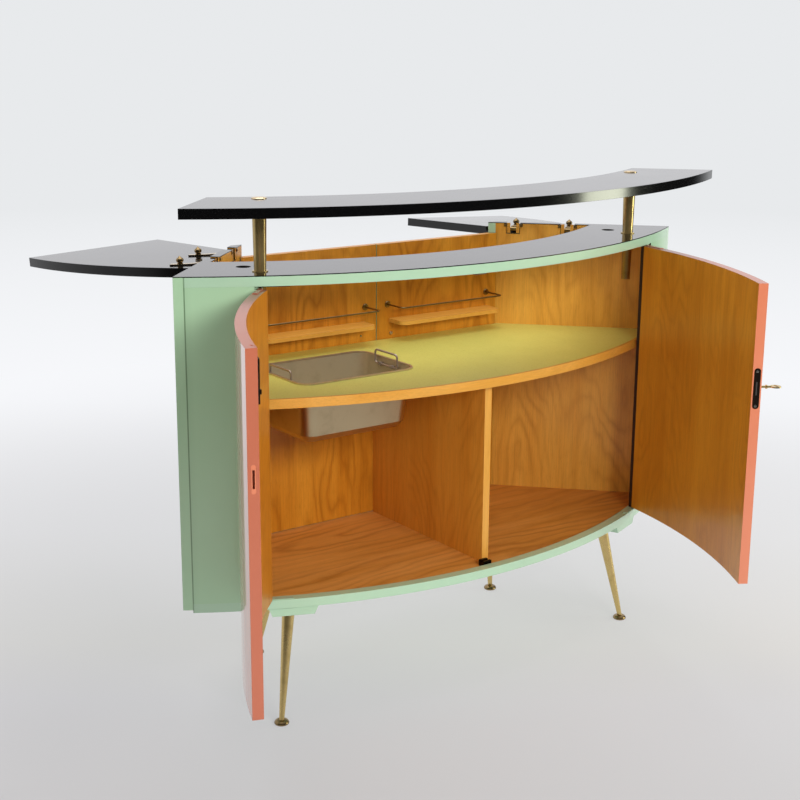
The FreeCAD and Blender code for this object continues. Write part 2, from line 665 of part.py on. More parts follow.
# legs, their blocks and glides
blocks = []
glides = []
block_z = bottom_z - block_t
front_leg_y = front_centre_y - sqrt((front_r - front_leg_in) ** 2 - front_leg_x ** 2)
for row, foot, rise in (("front", (front_leg_x, front_leg_y), leg_splay_y),
                        ("rear", (rear_leg_x, rear_y - rear_leg_in), -leg_splay_y)):
    top = (foot[0] - leg_splay_x, foot[1] + rise)
    for s, name in ((-1, "left"), (1, "right")):
        a = V(s * foot[0], foot[1], glide_h)
        b = V(s * top[0], top[1], block_z)
        step = (b - a) * (1 / (b - a).Length)
        leg = Part.makeCone(leg_foot_r, leg_top_r, (b - a).Length, a, step)
        leg = leg.fuse(Part.makeCylinder(leg_top_r, 8, b, step))
        leg = leg.fuse(Part.makeCylinder(leg_foot_r, 4, a, step * -1))
        wide = 2 * corner_x
        leg = leg.common(box(-wide, wide, -wide, wide, glide_h, block_z)).removeSplitter()
        save("leg_" + row + "_" + name, leg)
        glides.append(turned([(0, 0), (12, 0), ((15.4, 2), (15.8, 4)), ((13, 8.4), (8, 10)), (0, 10)],
                             V(a.x, a.y, 0)))
        if row == "front":
            turn = s * angle_of(V(top[0], top[1]), front_centre_y)
            middle = about(front_r - 40, turn)
        else:
            turn = 0
            middle = V(s * (top[0] - 4), top[1] + 2)
        long, deep, slope = 52, 36, 8
        profile = Part.makePolygon([V(-long, -deep, bottom_z), V(long, -deep, bottom_z),
                                    V(long - slope, -deep, block_z), V(slope - long, -deep, block_z),
                                    V(-long, -deep, bottom_z)])
        block = Part.Face(profile).extrude(V(0, 2 * deep, 0))
        block.rotate(V(0, 0, 0), UP, turn)
        block.translate(middle)
        blocks.append(block.cut(bottom))
save("leg_blocks", blocks)
save("glides", glides)
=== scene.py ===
import bpy
import bmesh
from math import radians, sin, cos, asin, sqrt, hypot
from mathutils import Vector, Matrix


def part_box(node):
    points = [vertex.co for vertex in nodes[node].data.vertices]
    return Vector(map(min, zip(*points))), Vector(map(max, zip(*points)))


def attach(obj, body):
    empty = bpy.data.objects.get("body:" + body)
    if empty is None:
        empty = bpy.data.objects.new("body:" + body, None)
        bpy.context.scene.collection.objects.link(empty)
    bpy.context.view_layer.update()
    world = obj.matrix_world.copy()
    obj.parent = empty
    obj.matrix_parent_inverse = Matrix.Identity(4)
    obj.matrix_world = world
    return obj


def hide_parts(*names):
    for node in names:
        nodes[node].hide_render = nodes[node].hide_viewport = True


# Curved home bar: lacquered carcass, veneered inside, black tops, brass legs and fittings.
# Metres, Z up, guests stand on the -Y side. A side is -1 for the left and 1 for the right.

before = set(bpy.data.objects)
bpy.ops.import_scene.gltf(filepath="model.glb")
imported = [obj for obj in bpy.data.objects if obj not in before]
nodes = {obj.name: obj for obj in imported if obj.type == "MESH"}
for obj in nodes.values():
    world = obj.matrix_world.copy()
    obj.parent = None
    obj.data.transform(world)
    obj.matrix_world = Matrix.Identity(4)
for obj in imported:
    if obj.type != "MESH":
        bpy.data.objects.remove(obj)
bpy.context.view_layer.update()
print("frame loaded:", len(nodes), "nodes")

# plan sizes that several pieces share
plan = {
    "frontRadius": 1.247,
    "frontCentre": (0.0, 1.0),      # the front curves about this point
    "cornerX": 0.6737,              # the front's corners, out from the middle
    "sideAngle": 44.6,              # how far the side panels turn in towards the back, in degrees
    "sideThickness": 0.020,
    "doorThickness": 0.020,
    "doorX": 0.5221,                # hinge edges of the front doors
    "rearY": 0.250,
    "floorTop": 0.278,
    "lipRise": 0.002,               # the lip before the sunk floor stands at least this much higher
    "ceiling": 0.9362,
    "counterTop": 0.9575,
    "backDoorTop": 0.9315,
    "workTop": 0.704,
}


def rgb(hexCode):
    # sRGB hex to the linear values that Blender's colours are kept in
    values = [int(hexCode[i:i + 2], 16) / 255 for i in (1, 3, 5)]
    return [v / 12.92 if v <= 0.04045 else ((v + 0.055) / 1.055) ** 2.4 for v in values] + [1.0]


def addNode(mat, kind, inputs=(), stops=(), **settings):
    # one node with its settings and links; inputs go by name, or in order when they are a tuple.
    # Each takes a value, one output of another node, or that node, which stands for its first output
    node = mat.node_tree.nodes.new("ShaderNode" + kind)
    for name, value in settings.items():
        setattr(node, name, value)
    if isinstance(inputs, dict):
        sockets = [(node.inputs[name], value) for name, value in inputs.items()]
    else:
        sockets = zip([socket for socket in node.inputs if socket.enabled], inputs)
    for socket, value in sockets:
        if isinstance(value, bpy.types.Node):
            value = next(output for output in value.outputs if output.enabled)
        if isinstance(value, bpy.types.NodeSocket):
            mat.node_tree.links.new(value, socket)
        else:
            socket.default_value = value
    if stops:
        ramp = node.color_ramp.elements
        while len(ramp) < len(stops):
            ramp.new(0.5)
        for element, (place, colour) in zip(ramp, stops):
            element.position = place
            element.color = rgb(colour) if isinstance(colour, str) else [colour, colour, colour, 1.0]
    return node


def newMaterial(name):
    mat = bpy.data.materials.new(name)
    mat.use_nodes = True
    mat.node_tree.nodes.clear()
    return mat


def makeSurface(mat, **inputs):
    # the shader at the end of a material; what is the same all over goes straight on its sockets
    named = {name.replace("_", " "): value for name, value in inputs.items()}
    addNode(mat, "OutputMaterial", {"Surface": addNode(mat, "BsdfPrincipled", named)})
    return mat


def makeRelief(mat, height, strength, depth=0.0002, arris=0.0008):
    # small relief in the face, over arrises that are softened enough to catch the light
    soft = addNode(mat, "Bevel", {"Radius": arris}, samples=4)
    return addNode(mat, "Bump", {"Strength": strength, "Distance": depth, "Height": height, "Normal": soft})


view = {
    "place": (-1.93443, -2.52952, 1.42297),
    "yaw": 0.628064,        # to the right of +Y
    "pitch": 0.251305,      # downwards
    "roll": 0.007075,
    "lens": 65.314,
    "sensor": 36.0,
    "clipEnd": 200.0,
}


def makeCamera():
    camera = bpy.data.objects.new("camera", bpy.data.cameras.new("camera"))
    bpy.context.scene.collection.objects.link(camera)
    camera.data.lens = view["lens"]
    camera.data.sensor_width = view["sensor"]
    camera.data.clip_end = view["clipEnd"]
    yaw, pitch, roll = view["yaw"], view["pitch"], view["roll"]
    ahead = Vector((sin(yaw) * cos(pitch), cos(yaw) * cos(pitch), -sin(pitch)))
    level = Vector((cos(yaw), -sin(yaw), 0))
    over = level.cross(ahead)
    right = level * cos(roll) + over * sin(roll)
    above = over * cos(roll) - level * sin(roll)
    turn = Matrix((right, above, -ahead)).transposed().to_4x4()
    camera.matrix_world = Matrix.Translation(view["place"]) @ turn
    bpy.context.scene.camera = camera


room = {
    "floorColour": "#d6d6d9",
    "floorRoughness": 0.75,
    "floorSize": 120.0,
    # the seamless paper's painted shade along the line of sight, darker from 0.7 m before the bar's middle to
    # lighter 2.3 m behind
    "paper": [(0.0, "#c6c5c7"), (0.14, "#d9d8db"), (0.24, "#e3e2e0"), (0.5, "#eeeef0"), (1.0, "#f8f9fc")],
    "paperReach": (-0.7, 2.3),
    "lineOfSight": (0.588, 0.809, 0),
    "paperFar": "#e8eaec",      # the paper far off, and high up
    "paperHigh": "#e0e2e4",
    "highReach": (0.0, 0.5),
    "farReach": (2.4, 9.0),
    # reflections meet white paper behind the bar and overhead, and the studio's unlit end before it
    "studioWhite": "#fcfcff",
    "studioDark": "#141416",
    "behind": (0.12, 0.30),
    "overhead": (0.35, 0.9),
    "overheadShare": 0.75,
    "darkReach": (1.6, 3.2),
    "skyLight": 0.335,
    # how much of the bar's shadow the paper's own light takes away, and where the shadow ends
    "softShadow": 0.58,
    "shadowReach": (0.9, 3.2),
    # name, place, aimed at, size, watts, colour
    "lamps": [
        ("keyLamp", (-0.5, -4.1, 2.35), (0.0, 0.0, 0.6), (2.4, 1.1), 128, "#fffaf4"),
        ("sideLamp", (2.75, -1.88, 0.85), (0.1, -0.3, 0.8), (0.8, 1.5), 38, "#f6fae2"),
        ("leftLamp", (-3.3, -3.1, 1.5), (0.0, 0.0, 0.6), (2.0, 1.6), 24, "#f2faee"),
        ("topLamp", (0.0, 0.5, 3.9), (0.0, 0.0, 0.5), (3.0, 3.0), 62, "#ffffff"),
    ],
    "outOfGloss": ("keyLamp", "leftLamp"),      # these would show as white patches in the black tops
}


def shownRays(mat):
    # the rays that see the paper as it is: straight, in a gloss or through glass; then the gloss alone
    rays = addNode(mat, "LightPath")
    glossy = rays.outputs["Is Glossy Ray"]
    shown = addNode(mat, "Math", (rays.outputs["Is Camera Ray"], glossy), operation="MAXIMUM")
    shown = addNode(mat, "Math", (shown, rays.outputs["Is Transmission Ray"]), operation="MAXIMUM")
    return shown, glossy


def makeWorld():
    world = bpy.data.worlds.new("paleRoom")
    bpy.context.scene.world = world
    world.use_nodes = True
    world.node_tree.nodes.clear()
    shown, glossy = shownRays(world)
    way = addNode(world, "SeparateXYZ", (addNode(world, "TexCoord").outputs["Generated"],))
    high = addNode(world, "MapRange", (way.outputs["Z"], *room["highReach"], 0.0, 1.0))
    paper = addNode(world, "Mix", (high, rgb(room["paperFar"]), rgb(room["paperHigh"])), data_type="RGBA")
    behind = addNode(world, "MapRange", (way.outputs["Y"], *room["behind"], 0.0, 1.0))
    overhead = addNode(world, "MapRange", (way.outputs["Z"], *room["overhead"], 0.0, room["overheadShare"]))
    lit = addNode(world, "Math", (behind, overhead), operation="MAXIMUM")
    mirrored = addNode(world, "Mix", (lit, rgb(room["studioDark"]), rgb(room["studioWhite"])),
                       data_type="RGBA")
    seen = addNode(world, "Mix", (glossy, paper, mirrored), data_type="RGBA")
    light = addNode(world, "Background", (rgb("#ffffff"), room["skyLight"]))
    picture = addNode(world, "Background", (seen, 1.0))
    addNode(world, "OutputWorld", {"Surface": addNode(world, "MixShader", (shown, light, picture))})


def makeFloor():
    half = room["floorSize"] / 2
    mesh = bpy.data.meshes.new("floor")
    mesh.from_pydata([(-half, -half, 0), (half, -half, 0), (half, half, 0), (-half, half, 0)], [],
                     [(0, 1, 2, 3)])
    floor = bpy.data.objects.new("floor", mesh)
    bpy.context.scene.collection.objects.link(floor)
    mat = newMaterial("paperFloor")
    metres = addNode(mat, "TexCoord").outputs["Object"]
    reach = addNode(mat, "VectorMath", (metres,), operation="LENGTH")
    deep = addNode(mat, "VectorMath", (metres, room["lineOfSight"]), operation="DOT_PRODUCT")
    deep = addNode(mat, "MapRange", (deep, *room["paperReach"], 0.0, 1.0))
    near = addNode(mat, "ValToRGB", (deep,), stops=room["paper"])
    away = addNode(mat, "MapRange", (reach, *room["farReach"], 0.0, 1.0))
    paper = addNode(mat, "Mix", (away, near, rgb(room["paperFar"])), data_type="RGBA")
    # in reflections the floor before the bar is as dark as the studio is there
    shown, glossy = shownRays(mat)
    turned = addNode(mat, "SeparateXYZ", (metres,)).outputs["Y"]
    turned = addNode(mat, "Math", (turned, reach), operation="DIVIDE")
    front = addNode(mat, "MapRange", (turned, *room["behind"], 1.0, 0.0))
    beyond = addNode(mat, "MapRange", (reach, *room["darkReach"], 0.0, 1.0))
    front = addNode(mat, "Math", (front, beyond), operation="MULTIPLY")
    dark = addNode(mat, "Math", (glossy, front), operation="MULTIPLY")
    seen = addNode(mat, "Mix", (dark, paper, rgb(room["studioDark"])), data_type="RGBA")
    glow = addNode(mat, "Emission", (seen, 1.0))
    # the paper glows all over, less so near the bar, where the floor keeps the bar's shadow
    edge = addNode(mat, "MapRange", (reach, *room["shadowReach"]), interpolation_type="SMOOTHSTEP")
    share = addNode(mat, "MapRange", (edge, 0.0, 1.0, room["softShadow"], 1.0))
    share = addNode(mat, "Math", (share, shown), operation="MULTIPLY")
    plain = addNode(mat, "BsdfPrincipled", {"Base Color": rgb(room["floorColour"]),
                                            "Roughness": room["floorRoughness"]})
    addNode(mat, "OutputMaterial", {"Surface": addNode(mat, "MixShader", (share, plain, glow))})
    mesh.materials.append(mat)


def makeLamps():
    for name, place, aim, size, watts, colour in room["lamps"]:
        lamp = bpy.data.lights.new(name, "AREA")
        lamp.shape = "RECTANGLE"
        lamp.size, lamp.size_y = size
        lamp.energy = watts
        lamp.color = rgb(colour)[:3]
        stand = bpy.data.objects.new(name, lamp)
        bpy.context.scene.collection.objects.link(stand)
        stand.location = place
        stand.visible_camera = False
        stand.visible_glossy = name not in room["outOfGloss"]
        stand.rotation_euler = (Vector(aim) - Vector(place)).to_track_quat("-Z", "Y").to_euler()


bpy.context.scene.view_settings.view_transform = "Standard"
makeCamera()
makeWorld()
makeFloor()
makeLamps()
print("camera and room ready")

# places on the curved plan
slant = radians(plan["sideAngle"])
centreX, centreY = plan["frontCentre"]
upward, frontward = Vector((0, 0, 1)), Vector((0, -1, 0))
widthways, inDepth = Vector((1, 0, 0)), Vector((0, 1, 0))
alongSide = {side: Vector((-side * sin(slant), cos(slant), 0)) for side in (-1, 1)}
outOfSide = {side: Vector((side * cos(slant), sin(slant), 0)) for side in (-1, 1)}
jambAngle = asin(plan["doorX"] / plan["frontRadius"])


def about(radius, angle, z=0.0):
    # point at a radius from the front's centre of curve and an angle from the middle plane
    return Vector((centreX + radius * sin(angle), centreY - radius * cos(angle), z))


def bySide(side, along, out, z=0.0):
    # point by its place along a side panel from the front corner and outward of its face
    corner = about(plan["frontRadius"], asin(plan["cornerX"] / plan["frontRadius"]))
    return Vector((side * (corner.x - along * sin(slant) + out * cos(slant)),
                   corner.y + along * cos(slant) + out * sin(slant), z))


# sprayed satin lacquer on board: a soft broad sheen over faint orange peel
paints = {
    # the third colour of the mints darkens the corner joints' hairlines and is painted as shade in the dip
    # beside them
    "mintLacquer": {"colour": "#b2d4b9", "shade": "#abcfb1", "jointAndShade": "#7c9b7e",
                    "film": 1.0, "gloss": 0.07, "peel": 0.10},
    # the upright panels are a touch greener and less blue than the bands: painted shade, matched to their look
    # in the shade of the doors
    "panelMint": {"colour": "#aed3b0", "shade": "#a6cda7", "jointAndShade": "#708f6e",
                  "film": 1.0, "gloss": 0.07, "peel": 0.10},
    # the coral is newer and flatter, and mirrors its surroundings more clearly
    "coralLacquer": {"colour": "#da8464", "shade": "#d47a57", "film": 1.0, "gloss": 0.04, "peel": 0.02},
    # a darker, less glossy coral on the left door's meeting edge, the doors' tops and the hinge straps
    "edgeCoral": {"colour": "#bd6c52", "shade": "#b46349", "film": 0.35, "gloss": 0.12, "peel": 0.06},
    # the lip that the doors shut against, rubbed duller by them; its colour is painted paler than the mint,
    # painted light that lifts the shade of the band over it
    "lipPaintedLight": {"colour": "#bcdcb8", "shade": "#b4d5b0", "film": 0.6, "gloss": 0.10, "peel": 0.06},
}
sprayed = {
    "drift": 6.0,       # tone drifts over a hand's width, 170 mm
    "peel": 420.0,      # orange peel, 2.4 mm across
    "roughness": (0.28, 0.36),
}
seams = {
    "inset": 0.0205,            # the corner posts' joints with the front, in from the side panels' faces
    "crack": (0.0006, 0.0018),  # half widths of the dark hairline and of its soft edge
    "dipShade": 0.12,                # painted shade beside the joint, where the film sinks
    "dipWidth": 0.015,
    "step": 0.0005,
}


def sprayedColour(mat, paint):
    metres = addNode(mat, "TexCoord").outputs["Object"]
    drift = addNode(mat, "TexNoise", (metres, sprayed["drift"], 3.0))
    return drift, addNode(mat, "Mix", (drift, rgb(paint["colour"]), rgb(paint["shade"])), data_type="RGBA")


def seamShade(mat):
    # dark hairline down each corner post's joint with the front, and painted shade in the soft dip beside it
    metres = addNode(mat, "TexCoord").outputs["Object"]
    shades = []
    for side in (-1, 1):
        inward = -outOfSide[side]
        line = addNode(mat, "VectorMath", (metres, inward), operation="DOT_PRODUCT")
        start = inward.dot(bySide(side, 0.0, -seams["inset"]))
        past = addNode(mat, "Math", (line, start), operation="SUBTRACT")
        off = addNode(mat, "Math", (past,), operation="ABSOLUTE")
        crack = addNode(mat, "MapRange", (off, *seams["crack"], 1.0, 0.0))
        dipShade = addNode(mat, "MapRange", (past, 0.0, seams["dipWidth"], seams["dipShade"], 0.0))
        begun = addNode(mat, "MapRange", (past, -seams["step"], seams["step"], 0.0, 1.0))
        dipShade = addNode(mat, "Math", (dipShade, begun), operation="MULTIPLY")
        shades.append(addNode(mat, "Math", (crack, dipShade), operation="MAXIMUM"))
    return addNode(mat, "Math", shades, operation="MAXIMUM")


def lacquer(name, paint, seamed=False):
    mat = newMaterial(name)
    drift, colour = sprayedColour(mat, paint)
    if seamed:
        # the joints' dark hairlines, and the painted shade beside them
        colour = addNode(mat, "Mix", (seamShade(mat), colour, rgb(paint["jointAndShade"])), data_type="RGBA")
    metres = addNode(mat, "TexCoord").outputs["Object"]
    peel = addNode(mat, "TexNoise", (metres, sprayed["peel"]))
    sheen = addNode(mat, "MapRange", (drift, 0.0, 1.0, *sprayed["roughness"]))
    return makeSurface(mat, Base_Color=colour, Roughness=sheen, Normal=makeRelief(mat, peel, paint["peel"]),
                       Coat_Weight=paint["film"], Coat_Roughness=paint["gloss"])


# light, middle and dark tone of each wood, width of one sliced leaf, spacing of the rings, how deep
# the log's heart lies behind the face, and how strong the ring lines are
woods = {
    "panelVeneer": {"tones": ("#e6aa48", "#d89838", "#a8691a"),
                    "leaf": 0.21, "ring": 0.019, "depth": 0.026, "line": 0.46},
    "backVeneer": {"tones": ("#da9630", "#c68022", "#8c4a06"),
                   "leaf": 0.17, "ring": 0.018, "depth": 0.022, "line": 0.52},
    "dividerVeneer": {"tones": ("#e2a03e", "#d48e30", "#a25e10"),
                      "leaf": 0.27, "ring": 0.014, "depth": 0.055, "line": 0.30},
    "floorVeneer": {"tones": ("#e6a454", "#d4903c", "#9c5a18"),
                    "leaf": 0.33, "ring": 0.026, "depth": 0.008, "line": 0.54},
    "galleryVeneer": {"tones": ("#f6ba58", "#eaa840", "#b0700f"),
                      "leaf": 0.27, "ring": 0.012, "depth": 0.055, "line": 0.20},
    "leftDoorVeneer": {"tones": ("#c88022", "#b66c18", "#8c4a08"),
                       "leaf": 0.16, "ring": 0.013, "depth": 0.070, "line": 0.24},
    "rightDoorVeneer": {"tones": ("#e0982c", "#ca801e", "#9c560a"),
                        "leaf": 0.16, "ring": 0.013, "depth": 0.070, "line": 0.28},
    # solid beech strips: close straight grain, paler than the veneer
    "beechLipping": {"tones": ("#e4ac54", "#da9c3c", "#c6862a"),
                     "leaf": 0.5, "ring": 0.006, "depth": 0.09, "line": 0.22},
}
# what all the woods share; scales are per metre
logFigure = {
    "stretch": 0.34,            # the figure is three times as long as it is wide
    "sway": 4.0,                # the heart wanders over 250 mm of trunk
    "swayReach": 0.14,
    "lean": 0.12,
    "uneven": 14.0,             # years are of unequal width, in groups 70 mm across
    "unevenReach": 2.4,
    "faint": 9.0,               # ring lines come and go over 110 mm
    "faintSpan": (0.35, 0.62),
    "faintest": 0.15,
    "patch": 5.0,               # tone drifts over 200 mm
    "year": [(0.0, 0.62), (0.22, 0.08), (0.58, 0.12), (0.90, 1.0), (1.0, 0.62)],
    "fibre": 420.0,             # fibres 2.4 mm apart, coarser than real ones so that they show
    "fibreStretch": 0.02,
    "fibreTone": (0.90, 1.07),
    "band": 30.0,               # bands of fibres 33 mm wide
    "bandReach": 0.5,
    "bandShare": 0.7,
    "noiseSpan": (0.3, 0.7),    # where nearly all of a noise lies
    "pore": 900.0,              # pores 1.1 mm apart and 18 mm long
    "poreStretch": 0.06,
    "poreEdge": [(0.60, 0.0), (0.68, 1.0)],
    "poreShare": 0.22,
}


def woodFigure(mat, wood, across, along, shift):
    # figure of a cut log: rings about a heart that runs slightly askew behind the face
    turn = Matrix((across, along.cross(across), along)).to_euler()
    metres = addNode(mat, "TexCoord").outputs["Object"]
    place = addNode(mat, "Mapping", {"Vector": metres, "Rotation": turn, "Location": shift})
    slow = addNode(mat, "Mapping", {"Vector": place, "Scale": (1, 1, logFigure["stretch"])})
    parts = addNode(mat, "SeparateXYZ", (place,))
    # how far a point is from the heart: aside within its leaf of veneer, and deeper in the log
    leaf = addNode(mat, "Math", (parts.outputs["X"], wood["leaf"]), operation="PINGPONG")
    aside = addNode(mat, "Math", (leaf, wood["leaf"] / 2), operation="SUBTRACT")
    sway = addNode(mat, "TexNoise", (slow, logFigure["sway"], 3.0))
    swayReach = logFigure["swayReach"]
    sway = addNode(mat, "MapRange", (sway, 0.0, 1.0, -swayReach, swayReach))
    deeper = addNode(mat, "Math", (parts.outputs["Z"], logFigure["lean"], wood["depth"]),
                     operation="MULTIPLY_ADD")
    deeper = addNode(mat, "Math", (deeper, sway), operation="ADD")
    aside = addNode(mat, "Math", (aside, aside), operation="MULTIPLY")
    deeper = addNode(mat, "Math", (deeper, deeper), operation="MULTIPLY")
    radius = addNode(mat, "Math", (aside, deeper), operation="ADD")
    radius = addNode(mat, "Math", (radius,), operation="SQRT")
    # rings: each year darkens slowly and ends in its dark line, and the lines come and go
    uneven = addNode(mat, "TexNoise", (slow, logFigure["uneven"], 3.0))
    warp = wood["ring"] * logFigure["unevenReach"]
    uneven = addNode(mat, "Math", (uneven, warp, radius), operation="MULTIPLY_ADD")
    year = addNode(mat, "Math", (uneven, wood["ring"]), operation="DIVIDE")
    year = addNode(mat, "Math", (year,), operation="FRACT")
    line = addNode(mat, "ValToRGB", (year,), stops=logFigure["year"])
    faint = addNode(mat, "TexNoise", (slow, logFigure["faint"]))
    faint = addNode(mat, "MapRange", (faint, *logFigure["faintSpan"], logFigure["faintest"], 1.0))
    line = addNode(mat, "Math", (line, faint), operation="MULTIPLY")
    line = addNode(mat, "Math", (line, wood["line"]), operation="MULTIPLY")
    # fibres, bands of them, and pores, all drawn out along the grain
    thin = addNode(mat, "Mapping", {"Vector": place, "Scale": (1, 1, logFigure["fibreStretch"])})
    fibre = addNode(mat, "TexNoise", (thin, logFigure["fibre"], 3.0, 0.6))
    band = addNode(mat, "TexNoise", (thin, logFigure["band"]))
    short = addNode(mat, "Mapping", {"Vector": place, "Scale": (1, 1, logFigure["poreStretch"])})
    pores = addNode(mat, "TexNoise", (short, logFigure["pore"], 1.0))
    pores = addNode(mat, "ValToRGB", (pores,), stops=logFigure["poreEdge"])
    # colours: tone by band and patch, then the ring lines, the fibres and the pores over it
    light, middle, dark = (rgb(tone) for tone in wood["tones"])
    span, bandReach = logFigure["noiseSpan"], logFigure["bandReach"]
    patch = addNode(mat, "TexNoise", (slow, logFigure["patch"], 3.0))
    tone = addNode(mat, "MapRange", (patch, *span, 0.0, 1.0))
    band = addNode(mat, "MapRange", (band, *span, -bandReach, bandReach))
    tone = addNode(mat, "Math", (band, logFigure["bandShare"], tone), operation="MULTIPLY_ADD")
    colour = addNode(mat, "Mix", (tone, light, middle), data_type="RGBA")
    colour = addNode(mat, "Mix", (line, colour, dark), data_type="RGBA")
    grain = addNode(mat, "MapRange", (fibre, *span, *logFigure["fibreTone"]))
    colour = addNode(mat, "Mix", (1.0, colour, grain), data_type="RGBA", blend_type="MULTIPLY")
    share = addNode(mat, "Math", (pores, logFigure["poreShare"]), operation="MULTIPLY")
    colour = addNode(mat, "Mix", (share, colour, dark), data_type="RGBA")
    return colour, fibre, patch


# clear amber lacquer over sliced wood: a gloss on top, the warm figure beneath
clearLacquer = {"film": 0.14, "gloss": 0.14, "specular": 0.36, "roughness": (0.34, 0.48), "relief": 0.10}


def veneer(name, wood, across, along, shift=(0, 0, 0), film=clearLacquer["film"],
           relief=clearLacquer["relief"], edged=None):
    mat = newMaterial(name)
    colour, fibre, patch = woodFigure(mat, wood, across, along, shift)
    if edged:
        colour = edged(mat, colour)
    sheen = addNode(mat, "MapRange", (patch, 0.0, 1.0, *clearLacquer["roughness"]))
    return makeSurface(mat, Base_Color=colour, Roughness=sheen, Normal=makeRelief(mat, fibre, relief),
                       Coat_Weight=film, Coat_Roughness=clearLacquer["gloss"],
                       Specular_IOR_Level=clearLacquer["specular"])


# rough dark surfaces that swallow the light: painted shade in gaps and holes, and the flush bolt's blackened
# bronze
darks = {
    # the jambs' sawn end grain, painted dark brown as the shade in the gap beside the doors
    "jambGapShade": {"colour": "#3c2410", "other": "#2a1808", "roughness": (0.55, 0.70)},
    # bored wood painted near black as the shade down the holes and in the gap above the left door
    "holeAndGapShade": {"colour": "#0d0a08", "other": "#070504", "roughness": (0.60, 0.75)},
    # the flush bolt's bronze, gone quite black and dull
    "blackenedBronze": {"colour": "#0d0a08", "other": "#070504", "roughness": (0.60, 0.75)},
}
sawn = {"cloud": 60.0, "marks": 500.0, "relief": 0.15}      # stains 17 mm across, tool marks 2 mm apart


def darkFinish(name):
    tone = darks[name]
    mat = newMaterial(name)
    metres = addNode(mat, "TexCoord").outputs["Object"]
    cloud = addNode(mat, "TexNoise", (metres, sawn["cloud"], 3.0))
    colour = addNode(mat, "Mix", (cloud, rgb(tone["colour"]), rgb(tone["other"])), data_type="RGBA")
    sheen = addNode(mat, "MapRange", (cloud, 0.0, 1.0, *tone["roughness"]))
    marks = addNode(mat, "TexNoise", (metres, sawn["marks"]))
    return makeSurface(mat, Base_Color=colour, Roughness=sheen, Normal=makeRelief(mat, marks, sawn["relief"]))


blacks = {
    # melamine laminate, polished in the press: deep black with a clear wide gloss
    "blackMelamine": {"colour": "#0d0d0f", "roughness": (0.09, 0.15), "ior": 1.62},
    # edges brushed with black lacquer: the same black, with a less even gloss
    "blackEdgeLacquer": {"colour": "#09090a", "roughness": (0.10, 0.18), "ior": 1.62},
    # the fold-out leaves' edges are duller still
    "leafEdgeLacquer": {"colour": "#060607", "roughness": (0.16, 0.26), "ior": 1.36},
}
wiped = {"wipe": 9.0, "grain": 700.0, "relief": 0.02, "depth": 0.0001}     # wipes 110 mm wide, grain 1.4 mm


def black(name):
    tone = blacks[name]
    mat = newMaterial(name)
    metres = addNode(mat, "TexCoord").outputs["Object"]
    wipe = addNode(mat, "TexNoise", (metres, wiped["wipe"], 4.0))
    sheen = addNode(mat, "MapRange", (wipe, 0.0, 1.0, *tone["roughness"]))
    grain = addNode(mat, "TexNoise", (metres, wiped["grain"]))
    return makeSurface(mat, Base_Color=rgb(tone["colour"]), Roughness=sheen, IOR=tone["ior"],
                       Normal=makeRelief(mat, grain, wiped["relief"], wiped["depth"]))


oliveTop = {
    "light": "#dcdc76",
    "dark": "#d0d068",
    "speck": "#b8b44e",
    "cloud": 14.0,      # clouds 70 mm across
    "specks": 380.0,    # specks 2.6 mm apart, coarser than real ones so that they show
    "speckEdge": [(0.58, 0.0), (0.66, 0.5)],
    "roughness": (0.34, 0.44),
    "film": 0.2,
    "gloss": 0.12,
    "relief": 0.04,
    "reliefDepth": 0.0001,
}


def oliveLaminate():
    # printed melamine laminate: a fine cloudy ground with small specks, satin
    mat = newMaterial("oliveMelamine")
    metres = addNode(mat, "TexCoord").outputs["Object"]
    cloud = addNode(mat, "TexNoise", (metres, oliveTop["cloud"], 5.0, 0.6))
    specks = addNode(mat, "TexNoise", (metres, oliveTop["specks"]))
    fleck = addNode(mat, "ValToRGB", (specks,), stops=oliveTop["speckEdge"])
    colour = addNode(mat, "Mix", (cloud, rgb(oliveTop["light"]), rgb(oliveTop["dark"])), data_type="RGBA")
    colour = addNode(mat, "Mix", (fleck, colour, rgb(oliveTop["speck"])), data_type="RGBA")
    sheen = addNode(mat, "MapRange", (cloud, 0.0, 1.0, *oliveTop["roughness"]))
    relief = makeRelief(mat, specks, oliveTop["relief"], oliveTop["reliefDepth"])
    return makeSurface(mat, Base_Color=colour, Roughness=sheen, Normal=relief,
                       Coat_Weight=oliveTop["film"], Coat_Roughness=oliveTop["gloss"])


